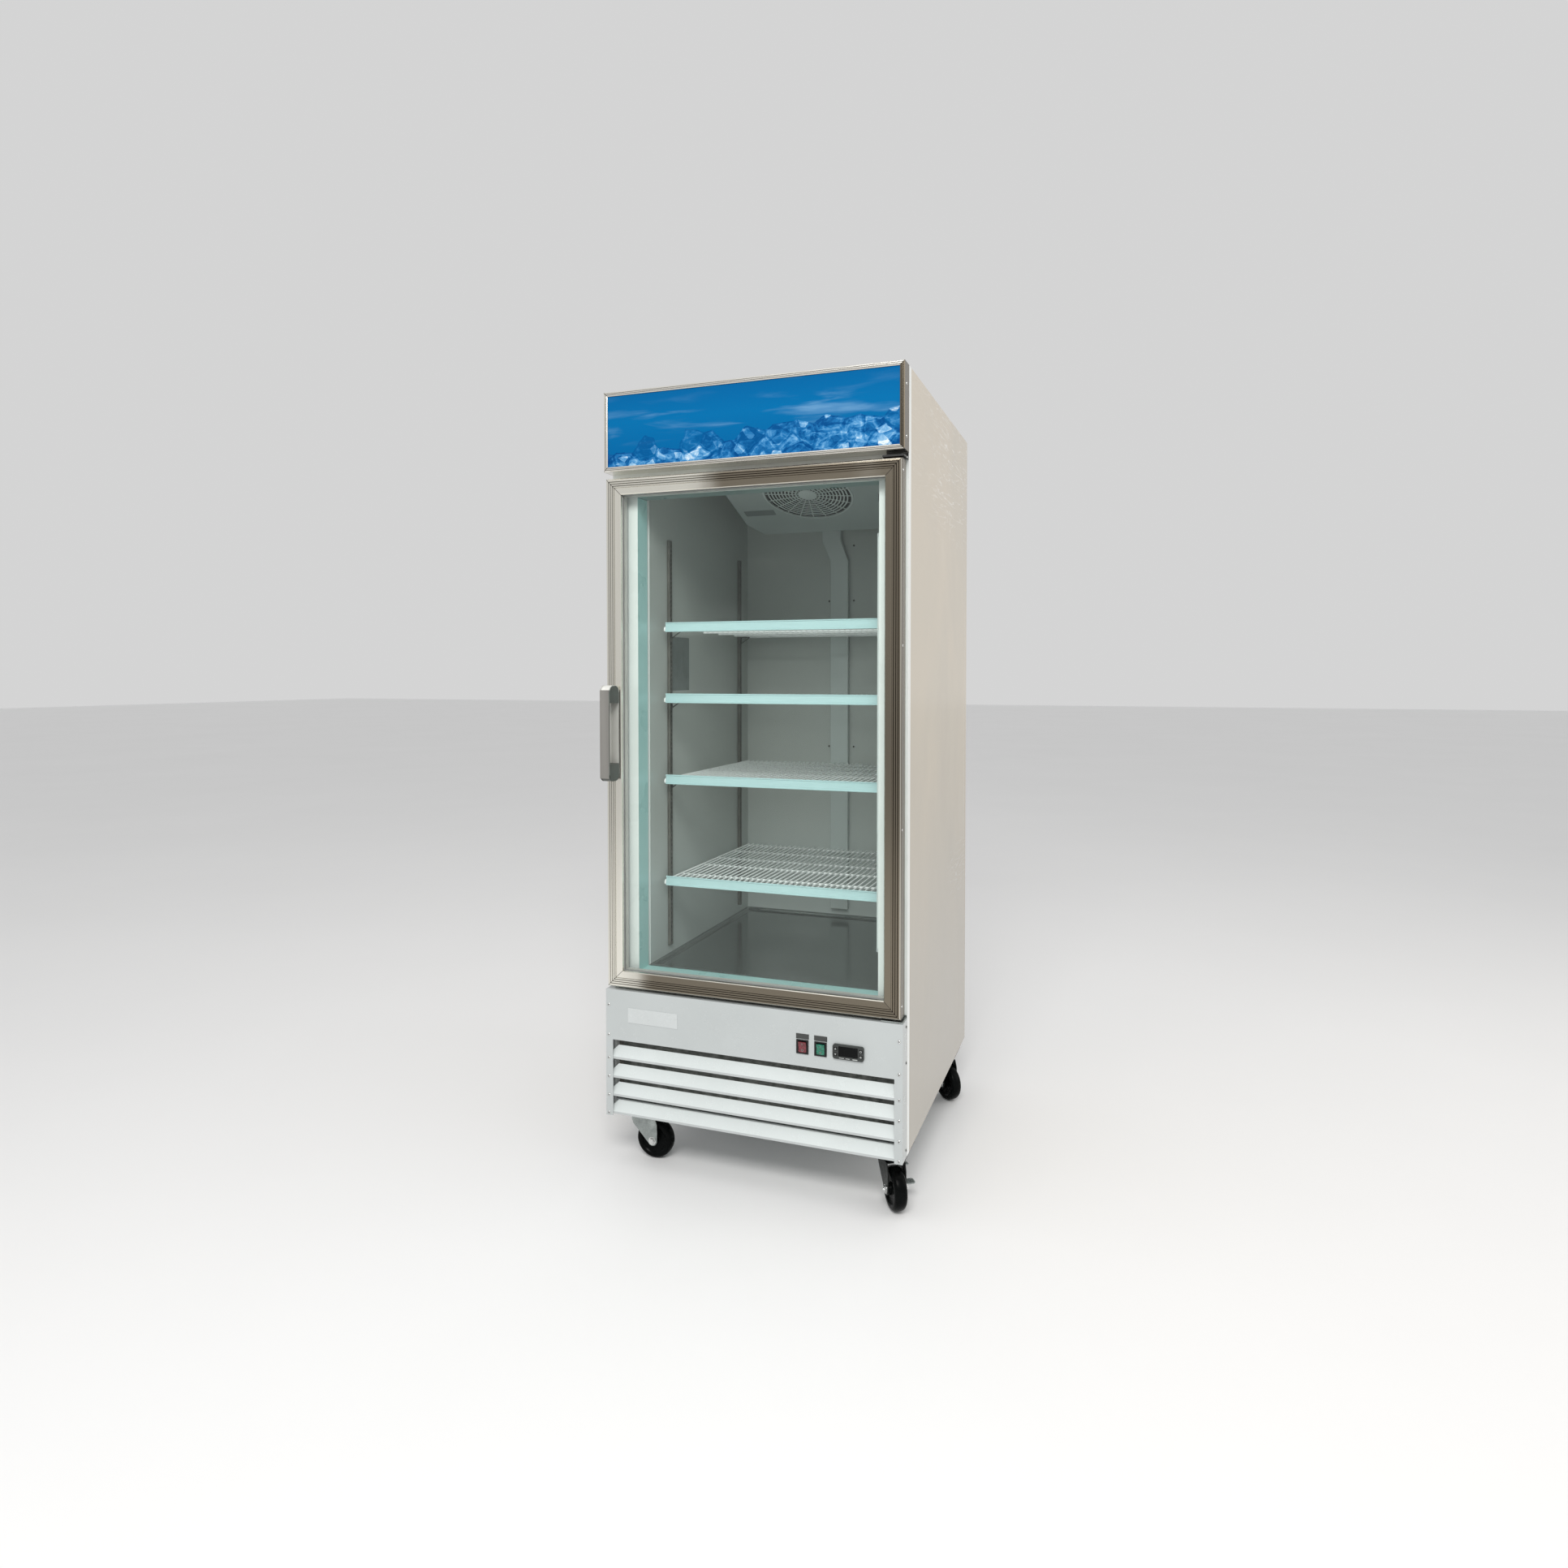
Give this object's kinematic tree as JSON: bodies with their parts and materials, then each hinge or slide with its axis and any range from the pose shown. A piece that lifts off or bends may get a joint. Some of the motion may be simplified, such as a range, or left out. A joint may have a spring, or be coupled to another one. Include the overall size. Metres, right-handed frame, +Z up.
{
  "type": "reach-in refrigerator",
  "caption": "Upright glass-door reach-in refrigerator with a sign header, wire shelves, louvred plinth and swivel casters.",
  "frame": {"origin": "centre of the footprint of the bounding box, on the floor under the casters", "axes": "+Z up, the door faces -Y, +X to the viewer's right; the door is hinged on the +X side"},
  "size_m": [0.8061, 0.922, 2.005],
  "materials": {
    "foamed_cabinet": "satin",
    "white_steel": "gloss",
    "frame_plastic": "satin",
    "silver_trim": "satin",
    "handle_metal": "satin",
    "grey_plastic": "satin",
    "black_plastic": "satin",
    "black_steel": "satin",
    "zinc": "satin",
    "black_zinc": "satin",
    "wheel_black": "satin",
    "gasket_rubber": "matte",
    "clear_glass": "polished",
    "sign_blue": "gloss",
    "rocker_red": "gloss",
    "rocker_green": "gloss",
    "shelf_wire": "satin",
    "standard_steel": "satin",
    "pale_plastic": "satin",
    "lamp_white": "satin",
    "fin_metal": "satin"
  },
  "bodies": {
    "cabinet": {"insulated_body": "foamed_cabinet", "side_panel_left": "white_steel", "side_panel_right": "white_steel", "face_frame": "frame_plastic", "base_tray": "white_steel", "grille_frame": "white_steel", "louvre_blade_1": "white_steel", "louvre_blade_2": "white_steel", "louvre_blade_3": "white_steel", "louvre_blade_4": "white_steel", "power_switch_body": "black_plastic", "light_switch_body": "black_plastic", "temperature_controller": "grey_plastic", "header_frame": "silver_trim", "header_panel": "sign_blue", "hinge_top": "black_steel", "hinge_bottom": "black_steel", "shelf_1": "shelf_wire", "shelf_2": "shelf_wire", "shelf_3": "shelf_wire", "shelf_4": "shelf_wire", "shelf_standard_left_front": "standard_steel", "shelf_standard_left_rear": "standard_steel", "shelf_standard_right_front": "standard_steel", "shelf_standard_right_rear": "standard_steel", "drain_duct": "pale_plastic", "interior_lamp": "lamp_white", "evaporator_cover": "pale_plastic", "evaporator_coil": "fin_metal", "compressor": "black_steel", "condenser": "fin_metal", "caster_plate_front_left": "black_steel", "caster_plate_front_right": "black_steel", "caster_plate_rear_left": "black_steel", "caster_plate_rear_right": "black_steel"},
    "door": {"door_frame": "silver_trim", "glass_outer": "clear_glass", "glass_inner": "clear_glass", "door_gasket": "gasket_rubber", "handle_channel": "handle_metal", "handle_block_top": "grey_plastic", "handle_block_bottom": "grey_plastic"},
    "power_rocker": {"power_rocker": "rocker_red"},
    "light_rocker": {"light_rocker": "rocker_green"},
    "controller_button_1": {"controller_button_1": "black_plastic"},
    "controller_button_2": {"controller_button_2": "black_plastic"},
    "controller_button_3": {"controller_button_3": "black_plastic"},
    "controller_button_4": {"controller_button_4": "black_plastic"},
    "evaporator_fan": {"evaporator_fan": "grey_plastic"},
    "condenser_fan": {"condenser_fan": "black_plastic"},
    "swivel_front_left": {"caster_fork_front_left": "zinc"},
    "wheel_front_left": {"caster_wheel_front_left": "wheel_black"},
    "brake_front_left": {"brake_lever_front_left": "zinc"},
    "swivel_front_right": {"caster_fork_front_right": "black_zinc"},
    "wheel_front_right": {"caster_wheel_front_right": "wheel_black"},
    "brake_front_right": {"brake_lever_front_right": "zinc"},
    "swivel_rear_left": {"caster_fork_rear_left": "black_zinc"},
    "wheel_rear_left": {"caster_wheel_rear_left": "wheel_black"},
    "swivel_rear_right": {"caster_fork_rear_right": "black_zinc"},
    "wheel_rear_right": {"caster_wheel_rear_right": "wheel_black"}
  },
  "joints": [
    {"name": "door_hinge", "type": "hinge", "parent": "cabinet", "child": "door", "pos_m": [0.3624, -0.385, 1.1292], "axis": [0, 0, 1], "range_deg": [0, 110]},
    {"name": "power_rocker_tilt", "type": "hinge", "parent": "cabinet", "child": "power_rocker", "pos_m": [0.137, -0.404, 0.3843], "axis": [1, 0, 0], "range_deg": [-16, 0]},
    {"name": "light_rocker_tilt", "type": "hinge", "parent": "cabinet", "child": "light_rocker", "pos_m": [0.183, -0.404, 0.3843], "axis": [1, 0, 0], "range_deg": [-16, 0]},
    {"name": "controller_button_1_press", "type": "slide", "parent": "cabinet", "child": "controller_button_1", "axis": [0, 1, 0], "range_m": [0, 0.0008], "stiffness_N_per_m": 300},
    {"name": "controller_button_2_press", "type": "slide", "parent": "cabinet", "child": "controller_button_2", "axis": [0, 1, 0], "range_m": [0, 0.0008], "stiffness_N_per_m": 300},
    {"name": "controller_button_3_press", "type": "slide", "parent": "cabinet", "child": "controller_button_3", "axis": [0, 1, 0], "range_m": [0, 0.0008], "stiffness_N_per_m": 300},
    {"name": "controller_button_4_press", "type": "slide", "parent": "cabinet", "child": "controller_button_4", "axis": [0, 1, 0], "range_m": [0, 0.0008], "stiffness_N_per_m": 300},
    {"name": "evaporator_fan_spin", "type": "hinge", "parent": "cabinet", "child": "evaporator_fan", "pos_m": [-0.0096, 0.08232, 1.83981], "axis": [0, 0.3505, 0.9365], "continuous": true},
    {"name": "condenser_fan_spin", "type": "hinge", "parent": "cabinet", "child": "condenser_fan", "pos_m": [-0.0496, -0.216, 0.28], "axis": [0, 1, 0], "continuous": true},
    {"name": "caster_front_left_swivel", "type": "hinge", "parent": "cabinet", "child": "swivel_front_left", "pos_m": [-0.3396, -0.314, 0.122], "axis": [0, 0, 1], "continuous": true},
    {"name": "caster_front_left_roll", "type": "hinge", "parent": "swivel_front_left", "child": "wheel_front_left", "pos_m": [-0.3056, -0.314, 0.051], "axis": [0, 1, 0], "continuous": true},
    {"name": "caster_front_left_brake", "type": "hinge", "parent": "swivel_front_left", "child": "brake_front_left", "pos_m": [-0.3276, -0.288, 0.078], "axis": [0, 1, 0], "range_deg": [0, 18]},
    {"name": "caster_front_right_swivel", "type": "hinge", "parent": "cabinet", "child": "swivel_front_right", "pos_m": [0.3354, -0.324, 0.122], "axis": [0, 0, 1], "continuous": true},
    {"name": "caster_front_right_roll", "type": "hinge", "parent": "swivel_front_right", "child": "wheel_front_right", "pos_m": [0.35392, -0.35251, 0.051], "axis": [0.8387, 0.5446, 0], "continuous": true},
    {"name": "caster_front_right_brake", "type": "hinge", "parent": "swivel_front_right", "child": "brake_front_right", "pos_m": [0.36374, -0.3199, 0.078], "axis": [0.8387, 0.5446, 0], "range_deg": [0, 18]},
    {"name": "caster_rear_left_swivel", "type": "hinge", "parent": "cabinet", "child": "swivel_rear_left", "pos_m": [-0.3396, 0.329, 0.122], "axis": [0, 0, 1], "continuous": true},
    {"name": "caster_rear_left_roll", "type": "hinge", "parent": "swivel_rear_left", "child": "wheel_rear_left", "pos_m": [-0.30854, 0.34283, 0.051], "axis": [-0.4067, 0.9135, 0], "continuous": true},
    {"name": "caster_rear_right_swivel", "type": "hinge", "parent": "cabinet", "child": "swivel_rear_right", "pos_m": [0.3354, 0.329, 0.122], "axis": [0, 0, 1], "continuous": true},
    {"name": "caster_rear_right_roll", "type": "hinge", "parent": "swivel_rear_right", "child": "wheel_rear_right", "pos_m": [0.35986, 0.30538, 0.051], "axis": [0.6947, 0.7193, 0], "continuous": true}
  ]
}
